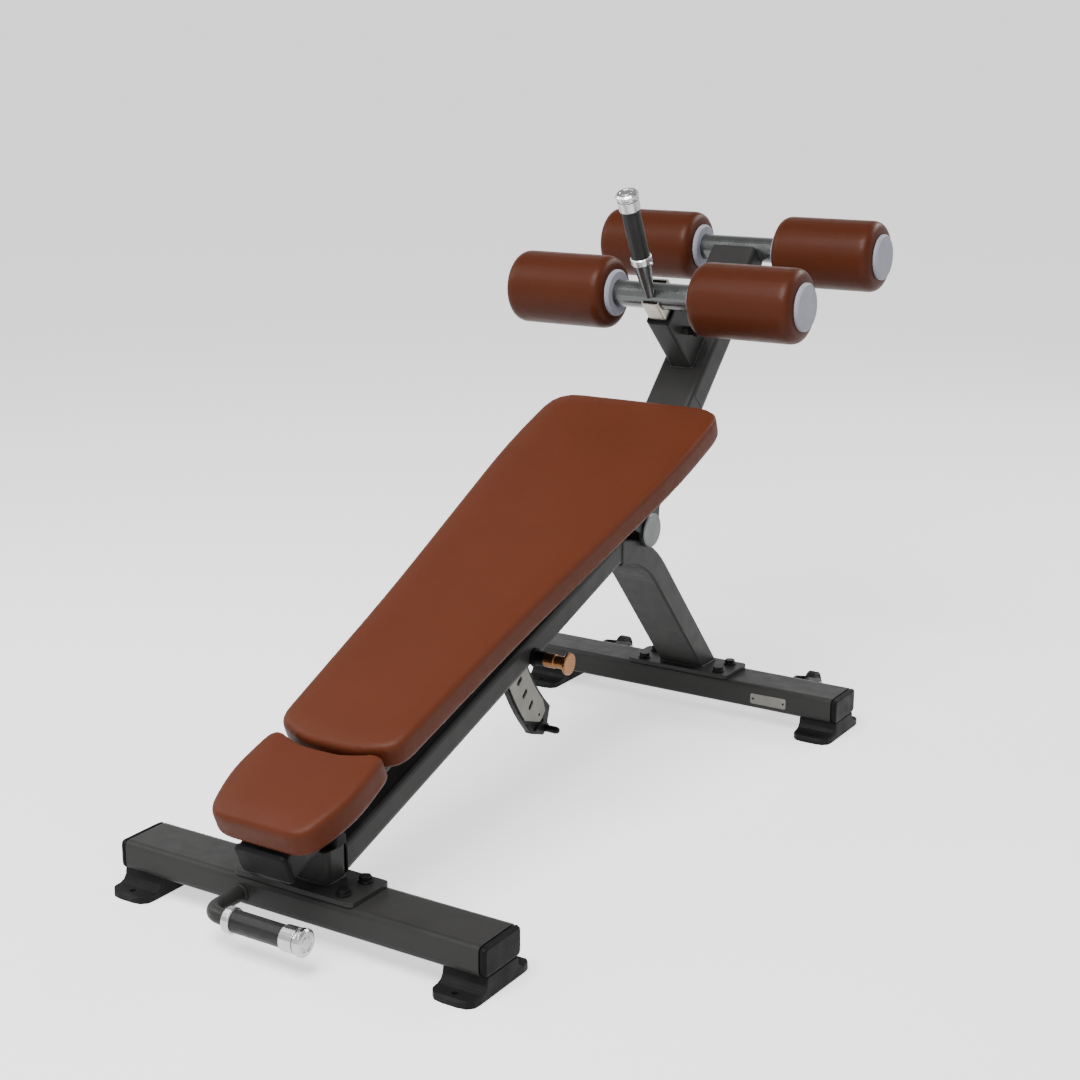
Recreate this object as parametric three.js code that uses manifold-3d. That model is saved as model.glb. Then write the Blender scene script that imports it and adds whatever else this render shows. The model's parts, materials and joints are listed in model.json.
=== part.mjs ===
// Adjustable decline bench with a roller leg hold, in millimetres, +Z up.
// +Y runs from the low (head) end to the high (roller) end and +X is to the right.
// Lengths along Y are measured from the front face of the low cross beam. At the end the whole
// bench is moved so that its origin lies on the floor, under the middle of its bounding box.
import * as THREE from "three";
import { mergeVertices } from "three/addons/utils/BufferGeometryUtils.js";
import Module from "manifold-3d";

const wasm = await Module();
wasm.setup();

// ---------------------------------------------------------------- driving dimensions

const GAP = 0.3; // clearance between pieces that touch
const WALL = 3; // wall of every steel tube
const TUBE_WIDTH = 100; // main tube section, across X
const TUBE_DEPTH = 50;
const TUBE_CORNER = 10;

// Cross beams and what they stand on.
const BEAM_LENGTH = 730; // with end caps
const BEAM_DEPTH = 99;
const BEAM_BOTTOM = 36;
const BEAM_TOP = 86;
const REAR_BEAM_Y = 1263;
const CAP_LENGTH = 12;
const FOOT_WIDTH = 81;
const FOOT_LENGTH = 168;
const FOOT_SIDE = 1; // how far a foot stops short of the beam's end

// Bolted mounting plates.
const PLATE_THICKNESS = 8;
const PLATE_TOP = BEAM_TOP + GAP + PLATE_THICKNESS;
const FRONT_PLATE_WIDTH = 240;
const REAR_PLATE_WIDTH = 236;
const BOLT_X = 88;
const BOLT_INSET = 22; // bolt row from the beam's face
const BOLT_RADIUS = 6;

// Fixed A-frame.
const POST_FRONT = 30;
const POST_BACK = 79;
const POST_TOP = 150;
const RAIL_ANGLE = 19.43;
const RAIL_START = [79, 123.5]; // centre line, [y, z]
const RAIL_END_Y = 943;
const GUIDE_ALONG = [530, 630]; // strips under the rail that guide the sector plate
const GUIDE_X = [[-30, -17.6], [3.4, 16]];
const GUIDE_DROP = 9;
const LEG_HALF_WIDTH = 49;
const BEND_CENTRE = [934, 201];
const BEND_RADIUS = 220;
const BEND_START = 8; // degrees below level where the bend begins
const LEG_ANGLE = 49;

// Carrier hinge.
const PIVOT = [1039, 449]; // [y, z]
const PIVOT_BARREL_RADIUS = 25;
const PIVOT_PIN_RADIUS = 10;
const PIVOT_HEAD_RADIUS = 34;
const LUG_INNER = 49.6;
const LUG_OUTER = 56.6;

// Moving carrier, in its own frame: the pivot is its origin, +Y runs up the pads, +Z out of them.
const CARRIER_ANGLE = 21.65;
const PAD_TOP = 211;
const PAD_THICKNESS = 50; // main pad
const HEAD_PAD_THICKNESS = 53;
const PAD_BOARD = 12;
const PAD_EDGE = 10; // rounding of a cushion's top edge
const PAD_TUCK = 8; // how far the cover is drawn in under a cushion
const BOARD_INSET = 12; // from a cushion's outline to its board's
const CARRIER_TOP = 156;
const CARRIER_LOW_END = -1133;
const CARRIER_HIGH_END = 194;
const MAIN_PAD_LOW = -932;
const MAIN_PAD_HIGH = 136;
const MAIN_PAD_LOW_HALF = 121;
const MAIN_PAD_WAIST = [141, -560]; // half width and place where the sides begin to spread
const MAIN_PAD_HIP = [191, -60];
const MAIN_PAD_HIGH_HALF = 188;
const HEAD_PAD_LOW = -1127;
const HEAD_PAD_HIGH = -942;
const HEAD_PAD_HIGH_HALF = 113;
const HEAD_PAD_MIDDLE = [121, -1030];
const HEAD_PAD_LOW_HALF = 95;
const PAD_ARCH = 25; // how far the two pads' facing edges curve over their width

// Leg-hold arm, in its own frame: the pivot is its origin and +Y runs up the arm.
const ARM_ANGLE = 45.9;
const ARM_LOW_END = 140;
const ARM_HIGH_END = 674;
const ARM_FRONT = 36;
const ARM_BACK = -24;
const REAR_AXLE_ALONG = 695;
const FRONT_AXLE_ALONG = 396;
const FRONT_AXLE_OUT = 223;
const AXLE_RADIUS = 26;
const AXLE_HALF_LENGTH = 312;
const SOCKET_MOUTH = 180;
const SOCKET_WIDTH = 50;
const SOCKET_DEPTH = 76;
const SLIDE_WIDTH = 38;
const SLIDE_DEPTH = 64;
const SLIDE_INNER_END = 40;
const SLIDE_OUTER_END = 236;
const SLIDE_HOLE_SPACING = 25;
const SLIDE_HOLES = 4;
const SLIDE_PIN_ALONG = 390;
const SLIDE_PIN_OUT = 123;

// Foam rollers.
const ROLLER_RADIUS = 72.7;
const ROLLER_INNER_FACE = 85.4;
const ROLLER_OUTER_FACE = 321.1;
const FLANGE_THICKNESS = 8;
const FLANGE_RADIUS = 46;
const ROLLER_SEGMENTS = 30;

// Angle-locking sector plate, an arc about the pivot, and its pull pin.
const SECTOR_RADIUS = 435.6; // of the locking holes
const SECTOR_INNER = 398;
const SECTOR_OUTER = 470;
const SECTOR_THICKNESS = 11;
const SECTOR_RIGHT = -3.3; // X of the plate's right side; its facing ends at the symmetry plane
const FACING_INNER = 405;
const FACING_OUTER = 466;
const FACING_THICKNESS = 3;
const PIN_ANGLE = 199.73; // of the pull pin, seen from the pivot
const HOLE_STEP = 4.55;
const HOLE_COUNT = 5;
const SLOT_LENGTH = 20;
const SLOT_WIDTH = 9;
const SLOT_TILT = 12; // of each slot from the radius
const HOUSING_RADIUS = 13;

// Hand grips: the same grip set is on the leg handle and the transport handle.
const HANDLE_TUBE_RADIUS = 13;
const COLLAR_RADIUS = 21;
const COLLAR_LENGTH = 15;
const GRIP_RADIUS = 18;
const HANDLE_CAP_RADIUS = 22.5;
const TRANSPORT_GRIP_LENGTH = 98;
const TRANSPORT_CAP_LENGTH = 42;
const TRANSPORT_ROOT_X = -103;
const TRANSPORT_HANDLE_Y = -80;
const TRANSPORT_HANDLE_Z = 57;
const TRANSPORT_BEND = 34;
const TRANSPORT_END_X = 97;
const LEG_HANDLE_ROOT = [1121, 897];
const LEG_HANDLE_LEAN = 24.9; // forward lean from upright, degrees
const LEG_HANDLE_LENGTH = 219;
const LEG_GRIP_LENGTH = 99;
const LEG_CAP_LENGTH = 37;

// Transport wheels.
const WHEEL_X = 232;
const WHEEL_Y = 1446;
const WHEEL_Z = 45;
const WHEEL_RADIUS = 28;
const WHEEL_WIDTH = 20;
const WHEEL_AXLE_RADIUS = 5;

// ---------------------------------------------------------------- materials

const finishes = {
  paint: { color: 0x4a4847, roughness: 0.42, metalness: 0.5 },
  black: { color: 0x17181a, roughness: 0.55, metalness: 0.0 },
  rubber: { color: 0x121212, roughness: 0.85, metalness: 0.0 },
  foam: { color: 0x7a4030, roughness: 0.5, metalness: 0.0 },
  board: { color: 0x2a2420, roughness: 0.8, metalness: 0.0 },
  chrome: { color: 0xc8c8c8, roughness: 0.18, metalness: 1.0 },
  nickel: { color: 0xa8a59c, roughness: 0.35, metalness: 0.9 },
  zinc: { color: 0x96948e, roughness: 0.5, metalness: 0.8 },
  axle: { color: 0x6d6f70, roughness: 0.3, metalness: 0.9 },
  cap: { color: 0xa8a8b2, roughness: 0.45, metalness: 0.5 },
  copper: { color: 0xa5673f, roughness: 0.3, metalness: 0.9 },
};

// ---------------------------------------------------------------- solids

// A closed three.js geometry as a manifold solid that faces outwards.
function solid(geometry) {
  const bare = geometry.index ? geometry.toNonIndexed() : geometry.clone();
  bare.deleteAttribute("normal");
  bare.deleteAttribute("uv");
  const merged = mergeVertices(bare, 1e-4);
  const triVerts = new Uint32Array(merged.index.array);
  const vertProperties = new Float32Array(merged.attributes.position.array);
  const made = new wasm.Manifold(new wasm.Mesh({ numProp: 3, vertProperties, triVerts }));
  if (made.volume() > 0) return made;
  for (let i = 0; i < triVerts.length; i += 3) {
    [triVerts[i + 1], triVerts[i + 2]] = [triVerts[i + 2], triVerts[i + 1]];
  }
  return new wasm.Manifold(new wasm.Mesh({ numProp: 3, vertProperties, triVerts }));
}

function geometryOf(body) {
  const { numProp, vertProperties, triVerts } = body.getMesh();
  const positions = new Float32Array((vertProperties.length / numProp) * 3);
  for (let i = 0; i < positions.length / 3; i++) {
    positions.set(vertProperties.subarray(i * numProp, i * numProp + 3), i * 3);
  }
  const geometry = new THREE.BufferGeometry();
  geometry.setAttribute("position", new THREE.BufferAttribute(positions, 3));
  geometry.setIndex(new THREE.BufferAttribute(new Uint32Array(triVerts), 1));
  geometry.computeVertexNormals();
  return geometry;
}

function join(...bodies) {
  return bodies.reduce((all, body) => all.add(body));
}

function cut(body, ...tools) {
  return tools.reduce((left, tool) => left.subtract(tool), body);
}

function addMesh(group, name, body, finish) {
  const material = new THREE.MeshStandardMaterial(finishes[finish]);
  const mesh = new THREE.Mesh(geometryOf(body), material);
  mesh.name = name;
  group.add(mesh);
  return mesh;
}

// ---------------------------------------------------------------- outlines and primitives

const radians = THREE.MathUtils.degToRad;

function polar(radius, degrees, centre = [0, 0]) {
  const a = radians(degrees);
  return [centre[0] + radius * Math.cos(a), centre[1] + radius * Math.sin(a)];
}

// Points on an arc about a centre, ends included.
function arc(radius, from, to, steps, centre = [0, 0]) {
  const points = [];
  for (let i = 0; i <= steps; i++) {
    points.push(polar(radius, from + ((to - from) * i) / steps, centre));
  }
  return points;
}

function shapeOf(points) {
  return new THREE.Shape(points.map(([a, b]) => new THREE.Vector2(a, b)));
}

// A closed outline whose corners [a, b, reach] are rounded, starting reach away from each corner.
function roundedShape(corners, steps = 3) {
  const points = [];
  corners.forEach(([a, b, reach = 0], i) => {
    const corner = new THREE.Vector2(a, b);
    if (!reach) {
      points.push(corner);
      return;
    }
    const [pa, pb] = corners[(i + corners.length - 1) % corners.length];
    const [na, nb] = corners[(i + 1) % corners.length];
    const start = new THREE.Vector2(pa, pb).sub(corner).setLength(reach).add(corner);
    const end = new THREE.Vector2(na, nb).sub(corner).setLength(reach).add(corner);
    points.push(...new THREE.QuadraticBezierCurve(start, corner, end).getPoints(steps));
  });
  return new THREE.Shape(points);
}

function rectangle(width, height, corner) {
  const [w, h] = [width / 2, height / 2];
  return roundedShape([[-w, -h, corner], [w, -h, corner], [w, h, corner], [-w, h, corner]]);
}

// An outline in [y, z] extruded across X from x0 to x1, with optional rounded long edges.
function acrossX(shape, x0, x1, bevel = 0) {
  const geometry = new THREE.ExtrudeGeometry(shape, {
    depth: x1 - x0 - 2 * bevel,
    bevelEnabled: bevel > 0,
    bevelSize: bevel,
    bevelThickness: bevel,
    bevelOffset: -bevel,
    bevelSegments: 2,
  });
  const toYZ = new THREE.Matrix4().makeBasis(
    new THREE.Vector3(0, 1, 0),
    new THREE.Vector3(0, 0, 1),
    new THREE.Vector3(1, 0, 0),
  );
  return solid(geometry.applyMatrix4(toYZ).translate(x0 + bevel, 0, 0));
}

// An outline in [x, y] extruded up from z0 to z1, with optional rounded rims.
function upZ(shape, z0, z1, bevel = 0) {
  const geometry = new THREE.ExtrudeGeometry(shape, {
    depth: z1 - z0 - 2 * bevel,
    bevelEnabled: bevel > 0,
    bevelSize: bevel,
    bevelThickness: bevel,
    bevelOffset: -bevel,
    bevelSegments: 2,
  });
  return solid(geometry.translate(0, 0, z0 + bevel));
}

function box(x0, x1, y0, y1, z0, z1) {
  const geometry = new THREE.BoxGeometry(x1 - x0, y1 - y0, z1 - z0);
  return solid(geometry.translate((x0 + x1) / 2, (y0 + y1) / 2, (z0 + z1) / 2));
}

// A cylinder along X from x0 to x1, centred on [y, z].
function rodX(radius, x0, x1, [y, z], segments = 20) {
  const geometry = new THREE.CylinderGeometry(radius, radius, x1 - x0, segments);
  return solid(geometry.rotateZ(-Math.PI / 2).translate((x0 + x1) / 2, y, z));
}

function rodZ(radius, z0, z1, [x, y], segments = 10) {
  const geometry = new THREE.CylinderGeometry(radius, radius, z1 - z0, segments);
  return solid(geometry.rotateX(Math.PI / 2).translate(x, y, (z0 + z1) / 2));
}

// A body of revolution about the X axis through [y, z]; the profile lists [x, radius].
function turned(profile, [y, z], segments = 20) {
  const points = profile.map(([x, radius]) => new THREE.Vector2(radius, x));
  const geometry = new THREE.LatheGeometry(points, segments);
  return solid(geometry.rotateZ(-Math.PI / 2).translate(0, y, z));
}

// A length of rectangular tube along +Y in its own frame, centred on height z.
function tubeY(width, depth, y0, y1, z, corner = TUBE_CORNER) {
  const outer = alongY(rectangle(width, depth, corner), y0, y1, z);
  const inner = rectangle(width - 2 * WALL, depth - 2 * WALL, corner - WALL);
  return outer.subtract(alongY(inner, y0 - 1, y1 + 1, z));
}

function alongY(section, y0, y1, z = 0, bevel = 0) {
  const geometry = new THREE.ExtrudeGeometry(section, {
    depth: y1 - y0 - 2 * bevel,
    bevelEnabled: bevel > 0,
    bevelSize: bevel,
    bevelThickness: bevel,
    bevelOffset: -bevel,
    bevelSegments: 2,
  });
  return solid(geometry.rotateX(Math.PI / 2).translate(0, y1 - bevel, z));
}

// A body skinned over level rings [outline, z] that all have the same number of points.
function lofted(rings) {
  const outlines = rings.map(([shape]) => shape.getPoints());
  const count = outlines[0].length;
  const positions = outlines.flatMap((points, ring) => points.flatMap((p) => [p.x, p.y, rings[ring][1]]));
  const index = [];
  for (let ring = 1; ring < rings.length; ring++) {
    const [below, above] = [(ring - 1) * count, ring * count];
    for (let i = 0; i < count; i++) {
      const next = (i + 1) % count;
      index.push(below + i, below + next, above + next);
      index.push(below + i, above + next, above + i);
    }
  }
  const top = (rings.length - 1) * count;
  for (const [a, b, c] of THREE.ShapeUtils.triangulateShape(outlines[0], [])) index.push(c, b, a);
  for (const [a, b, c] of THREE.ShapeUtils.triangulateShape(outlines[rings.length - 1], [])) {
    index.push(top + a, top + b, top + c);
  }
  const geometry = new THREE.BufferGeometry();
  geometry.setAttribute("position", new THREE.Float32BufferAttribute(positions, 3));
  geometry.setIndex(index);
  return solid(geometry);
}

// ---------------------------------------------------------------- cross beams

// One cross beam: a tube along X with a bolt pattern through its top wall.
function crossBeam(y0) {
  const half = BEAM_LENGTH / 2 - CAP_LENGTH;
  const height = BEAM_TOP - BEAM_BOTTOM;
  const centre = [y0 + BEAM_DEPTH / 2, (BEAM_TOP + BEAM_BOTTOM) / 2];
  const section = (inset, corner) => {
    const shape = rectangle(BEAM_DEPTH - 2 * inset, height - 2 * inset, corner);
    return new THREE.Shape(shape.getPoints().map((p) => p.add(new THREE.Vector2(...centre))));
  };
  const outer = acrossX(section(0, TUBE_CORNER), -half, half);
  const inner = acrossX(section(WALL, TUBE_CORNER - WALL), -half - 1, half + 1);
  const holes = boltPlaces(y0).map((place) => rodZ(BOLT_RADIUS + 0.5, BEAM_TOP - 8, BEAM_TOP + 5, place));
  return cut(outer, inner, ...holes);
}

function boltPlaces(y0) {
  const rows = [y0 + BOLT_INSET, y0 + BEAM_DEPTH - BOLT_INSET];
  return rows.flatMap((y) => [[-BOLT_X, y], [BOLT_X, y]]);
}

// A plastic end cap with a plug that sits inside the tube, for the beam end on one side.
function beamCap(y0, side) {
  const height = BEAM_TOP - BEAM_BOTTOM;
  const [y, z] = [y0 + BEAM_DEPTH / 2, (BEAM_TOP + BEAM_BOTTOM) / 2];
  const end = BEAM_LENGTH / 2;
  const face = shiftedShape(rectangle(BEAM_DEPTH, height, TUBE_CORNER), y, z);
  const plugShape = rectangle(BEAM_DEPTH - 2 * WALL - 1, height - 2 * WALL - 1, TUBE_CORNER - WALL);
  const plug = shiftedShape(plugShape, y, z);
  const cap = join(
    acrossX(face, end - CAP_LENGTH + GAP, end, 5),
    acrossX(plug, end - CAP_LENGTH - 16, end - 4),
  );
  return side > 0 ? cap : cap.mirror([1, 0, 0]);
}

function shiftedShape(shape, a, b) {
  return new THREE.Shape(shape.getPoints().map((p) => p.clone().add(new THREE.Vector2(a, b))));
}

// A flared rubber foot under one end of a beam, with a bolt-down hole in each flange.
function foot(y0, side) {
  const middle = y0 + BEAM_DEPTH / 2;
  const half = FOOT_LENGTH / 2;
  const profile = [
    [middle - half, 0], [middle + half, 0],
    [middle + half, 8], [middle + half - 4, 12], [middle + 56, 13], [middle + 48, 16],
    [middle + 43, 23], [middle + 41, BEAM_BOTTOM - GAP],
    [middle - 41, BEAM_BOTTOM - GAP], [middle - 43, 23],
    [middle - 48, 16], [middle - 56, 13], [middle - half + 4, 12], [middle - half, 8],
  ];
  const outer = BEAM_LENGTH / 2 - FOOT_SIDE;
  const x = outer - FOOT_WIDTH / 2;
  const body = acrossX(shapeOf(profile), outer - FOOT_WIDTH, outer, 2);
  const plan = upZ(shiftedShape(rectangle(FOOT_WIDTH, FOOT_LENGTH, 26), x, middle), -1, BEAM_BOTTOM);
  const holes = [-67, 67].map((dy) => rodZ(5.5, -1, BEAM_BOTTOM, [x, middle + dy]));
  const made = cut(body.intersect(plan), ...holes);
  return side > 0 ? made : made.mirror([1, 0, 0]);
}

// The four bolts of a mounting plate with their washers, screwed into one nut plate in the beam.
function boltSet(y0) {
  const nutTop = BEAM_TOP - WALL - GAP;
  const places = boltPlaces(y0);
  const bolts = places.map((place) => join(
    rodZ(BOLT_RADIUS, nutTop - 4, PLATE_TOP + 9, place),
    rodZ(13, PLATE_TOP + GAP, PLATE_TOP + 2.5, place, 16),
    rodZ(10.5, PLATE_TOP + 2, PLATE_TOP + 10, place, 6),
  ));
  const nutPlate = box(
    -BOLT_X - 14, BOLT_X + 14,
    y0 + BOLT_INSET - 12, y0 + BEAM_DEPTH - BOLT_INSET + 12,
    nutTop - 6, nutTop,
  );
  return join(nutPlate, ...bolts);
}

function mountingPlate(y0, width) {
  const shape = shiftedShape(rectangle(width, BEAM_DEPTH - 2, 10), 0, y0 + BEAM_DEPTH / 2);
  const holes = boltPlaces(y0).map((place) => rodZ(BOLT_RADIUS + 0.5, BEAM_TOP - 5, PLATE_TOP + 5, place));
  return cut(upZ(shape, BEAM_TOP + GAP, PLATE_TOP), ...holes);
}

// ---------------------------------------------------------------- fixed frame

// Short upright on the low plate: carries the rail's low end, and the stop bumper on its top.
function frontPost() {
  const depth = POST_BACK - POST_FRONT;
  const y = (POST_BACK + POST_FRONT) / 2;
  const outerShape = rectangle(TUBE_WIDTH, depth, TUBE_CORNER);
  const outer = upZ(shiftedShape(outerShape, 0, y), PLATE_TOP - 2, POST_TOP, 2);
  const innerShape = rectangle(TUBE_WIDTH - 2 * WALL, depth - 2 * WALL, TUBE_CORNER - WALL);
  const inner = upZ(shiftedShape(innerShape, 0, y), PLATE_TOP, POST_TOP - WALL - 2);
  const vent = box(-10, 10, y, POST_BACK + 2, 110, 130);
  return cut(join(outer, mountingPlate(0, FRONT_PLATE_WIDTH)), inner, vent);
}

// Rubber half-round across the post: the carrier rests on it at its steepest setting.
function stopBumper() {
  const centre = [64.5, 161];
  const radius = 13.5;
  const base = POST_TOP + GAP;
  const outline = [
    [centre[0] - radius, base],
    [centre[0] + radius, base],
    ...arc(radius, 0, 180, 10, centre),
  ];
  return acrossX(shapeOf(outline), -52, 52, 3);
}

// Inclined rail of the A-frame, mitred upright at both ends, slotted for the sector plate and with
// a guide strip on each side of the slot.
function mainRail() {
  const rise = Math.tan(radians(RAIL_ANGLE));
  const place = new THREE.Matrix4()
    .makeTranslation(0, RAIL_START[0], RAIL_START[1])
    .multiply(new THREE.Matrix4().makeRotationX(radians(RAIL_ANGLE)));
  const under = -TUBE_DEPTH / 2;
  const guides = GUIDE_X.map(([x0, x1]) => box(x0, x1, ...GUIDE_ALONG, under - GUIDE_DROP, under + 1));
  const tube = join(tubeY(TUBE_WIDTH, TUBE_DEPTH, -60, 1000, 0), ...guides).transform(place.elements);
  const span = box(-80, 80, RAIL_START[0] + GAP + 0.5, RAIL_END_Y, 0, 700);
  const slot = acrossX(
    shapeOf([...arc(SECTOR_INNER - 4, 186, 214, 6, PIVOT), ...arc(SECTOR_OUTER + 4, 214, 186, 6, PIVOT)]),
    SECTOR_RIGHT - SECTOR_THICKNESS - 3,
    3,
  );
  const pinHole = rodX(6.2, 0, TUBE_WIDTH, pinPlace());
  return cut(tube.intersect(span), slot, pinHole);
}

function pinPlace() {
  return polar(SECTOR_RADIUS, PIN_ANGLE, PIVOT);
}

// Side outline of the bent leg: from the mitre, round the bend, straight down to the plate.
function legOutline(offset, startY, endZ) {
  const side = (sign) => {
    const radius = BEND_RADIUS + sign * offset;
    const bend = arc(radius, 90 - BEND_START, 90 - LEG_ANGLE, 8, BEND_CENTRE);
    const [firstY, firstZ] = bend[0];
    const [lastY, lastZ] = bend[bend.length - 1];
    const start = [startY, firstZ + (firstY - startY) * Math.tan(radians(BEND_START))];
    const end = [lastY + (lastZ - endZ) / Math.tan(radians(LEG_ANGLE)), endZ];
    return [start, ...bend, end];
  };
  return shapeOf([...side(1), ...side(-1).reverse()]);
}

// Bent rear leg with its mounting plate and the pivot barrel on saddle plates over the bend.
function rearLeg() {
  const half = TUBE_DEPTH / 2;
  const tube = acrossX(legOutline(half, RAIL_END_Y + 2, PLATE_TOP - 4), -LEG_HALF_WIDTH, LEG_HALF_WIDTH, 4);
  const hollowHalf = LEG_HALF_WIDTH - WALL;
  const hollow = acrossX(legOutline(half - WALL, RAIL_END_Y - 5, PLATE_TOP + 4), -hollowHalf, hollowHalf);
  const barrelHalf = LEG_HALF_WIDTH - 2.4;
  const barrel = rodX(PIVOT_BARREL_RADIUS, -barrelHalf, barrelHalf, PIVOT, 28);
  const saddle = [[1013, 449], [1065, 449], [1080, 385], [990, 405]];
  const saddles = [-1, 1].map((side) => acrossX(shapeOf(saddle), side * 36 - 5, side * 36 + 5));
  const bore = rodX(PIVOT_PIN_RADIUS + 3, -60, 60, PIVOT, 28);
  const floorOfLeg = box(-60, 60, 1200, 1400, PLATE_TOP - 10, PLATE_TOP - 1);
  const leg = join(cut(tube, floorOfLeg), barrel, ...saddles);
  return cut(join(cut(leg, hollow), mountingPlate(REAR_BEAM_Y, REAR_PLATE_WIDTH)), bore);
}

// Flanged plain bush in one end of the pivot barrel.
function pivotBush(side) {
  const [inner, outer] = [PIVOT_PIN_RADIUS + 0.3, PIVOT_PIN_RADIUS + 2.7];
  const face = LEG_HALF_WIDTH - 2.4;
  const bush = turned([
    [face - 20, inner], [face - 20, outer], [face + 0.3, outer],
    [face + 0.3, 18], [face + 2.3, 18], [face + 2.3, inner], [face - 20, inner],
  ], PIVOT);
  return side > 0 ? bush : bush.mirror([1, 0, 0]);
}

// Rear beam with its two pairs of welded wheel cheeks.
function rearBeam() {
  const back = REAR_BEAM_Y + BEAM_DEPTH;
  const outline = [
    [back - 2, 42], [back - 2, 76], [back + 36, 76],
    ...arc(15, 70, -110, 8, [WHEEL_Y, WHEEL_Z]),
  ];
  const hole = rodX(WHEEL_AXLE_RADIUS + 0.3, -300, 300, [WHEEL_Y, WHEEL_Z], 16);
  const cheeks = [-1, 1].flatMap((side) => [-1, 1].map((edge) => {
    const x = side * WHEEL_X + edge * (WHEEL_WIDTH / 2 + 4);
    return acrossX(shapeOf(outline), x - 2, x + 2).subtract(hole);
  }));
  return join(crossBeam(REAR_BEAM_Y), ...cheeks);
}

function transportWheel(side) {
  const [w, r] = [WHEEL_WIDTH / 2, WHEEL_RADIUS];
  const x = side * WHEEL_X;
  const bore = WHEEL_AXLE_RADIUS + 0.4;
  return turned([
    [x - w, bore], [x - w, r - 9], [x - w + 2, r - 7], [x - w, r - 5], [x - w + 1.5, r],
    [x + w - 1.5, r], [x + w, r - 5], [x + w - 2, r - 7], [x + w, r - 9], [x + w, bore],
    [x - w, bore],
  ], [WHEEL_Y, WHEEL_Z], 24);
}

// Axle bolt of one transport wheel: head outside one cheek, nut outside the other.
function wheelAxle(side) {
  const cheek = WHEEL_WIDTH / 2 + 6 + GAP;
  const x = side * WHEEL_X;
  const place = [WHEEL_Y, WHEEL_Z];
  return join(
    rodX(WHEEL_AXLE_RADIUS, x - cheek - 5, x + cheek + 5, place, 16),
    rodX(9, x + cheek, x + cheek + 5, place, 6),
    rodX(9, x - cheek - 5, x - cheek, place, 6),
  );
}

// ---------------------------------------------------------------- hand grips

// Collar, grip and end cap of a handle along X, with the end cap's outer face at endX.
function gripSet(group, prefix, endX, place, gripLength, capLength) {
  const tube = HANDLE_TUBE_RADIUS + GAP;
  const capStart = endX - capLength;
  const gripStart = capStart - GAP - gripLength;
  const collarStart = gripStart - GAP - COLLAR_LENGTH;
  const collar = turned([
    [collarStart, tube], [collarStart, COLLAR_RADIUS - 2], [collarStart + 2, COLLAR_RADIUS],
    [gripStart - GAP - 2, COLLAR_RADIUS], [gripStart - GAP, COLLAR_RADIUS - 2],
    [gripStart - GAP, tube], [collarStart, tube],
  ], place);
  const grip = turned([
    [gripStart, tube], [gripStart, GRIP_RADIUS], [capStart - GAP, GRIP_RADIUS],
    [capStart - GAP, tube], [gripStart, tube],
  ], place);
  const bottom = endX - 14;
  const rim = HANDLE_CAP_RADIUS;
  const cap = turned([
    [capStart, tube], [capStart, rim - 3.5], [capStart + 2, rim - 2], [endX - 16, rim - 1.5],
    [endX - 15, rim - 4], [endX - 12.5, rim - 4], [endX - 11.5, rim - 0.5], [endX - 9, rim],
    [endX - 3.5, rim], [endX, rim - 4], [endX, 14], [endX - 1.5, 13], [endX - 1.5, 10.5], [endX, 9.5],
    [endX, 0], [bottom, 0], [bottom, tube], [capStart, tube],
  ], place);
  addMesh(group, prefix + "_collar", collar, "chrome");
  addMesh(group, prefix + "_grip", grip, "rubber");
  addMesh(group, prefix + "_end_cap", cap, "chrome");
}

// Bent tube of the transport handle, welded end on the beam's front face.
function transportHandleTube() {
  const [x, y, z] = [TRANSPORT_ROOT_X, TRANSPORT_HANDLE_Y, TRANSPORT_HANDLE_Z];
  const bend = TRANSPORT_BEND;
  const path = new THREE.CurvePath();
  const start = new THREE.Vector3(x, -GAP, z);
  const bendStart = new THREE.Vector3(x, y + bend, z);
  const bendEnd = new THREE.Vector3(x + bend, y, z);
  path.add(new THREE.LineCurve3(start, bendStart));
  path.add(new THREE.QuadraticBezierCurve3(bendStart, new THREE.Vector3(x, y, z), bendEnd));
  const straight = solid(new THREE.ExtrudeGeometry(circle(HANDLE_TUBE_RADIUS, 16), {
    steps: 14,
    bevelEnabled: false,
    extrudePath: path,
  }));
  const end = TRANSPORT_END_X - 15;
  return join(straight, rodX(HANDLE_TUBE_RADIUS, x + bend - 0.5, end, [y, z], 16));
}

function circle(radius, segments) {
  return shapeOf(arc(radius, 0, 360 - 360 / segments, segments - 1));
}

// ---------------------------------------------------------------- carrier

const mirrored = (points) => [
  ...points,
  ...points.map(([x, ...rest]) => [-x, ...rest]).reverse(),
];

// Outline of the main pad: wide at the hips, narrower from the waist to the head end.
function mainPadShape(inset) {
  const low = MAIN_PAD_LOW + inset;
  const high = MAIN_PAD_HIGH - inset;
  return roundedShape(mirrored([
    [48 - inset / 2, low, 26],
    [MAIN_PAD_LOW_HALF - inset, low + PAD_ARCH, 30],
    [MAIN_PAD_WAIST[0] - inset, MAIN_PAD_WAIST[1], 120],
    [MAIN_PAD_HIP[0] - inset, MAIN_PAD_HIP[1], 100],
    [MAIN_PAD_HIGH_HALF - inset, high, 56],
  ]), 4);
}

function headPadShape(inset) {
  const low = HEAD_PAD_LOW + inset;
  const high = HEAD_PAD_HIGH - inset;
  return roundedShape(mirrored([
    [HEAD_PAD_LOW_HALF - inset, low, 34],
    [HEAD_PAD_MIDDLE[0] - inset, HEAD_PAD_MIDDLE[1], 38],
    [HEAD_PAD_HIGH_HALF - inset, high + PAD_ARCH, 25],
    [48 - inset / 2, high, 24],
  ]), 4);
}

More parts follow.
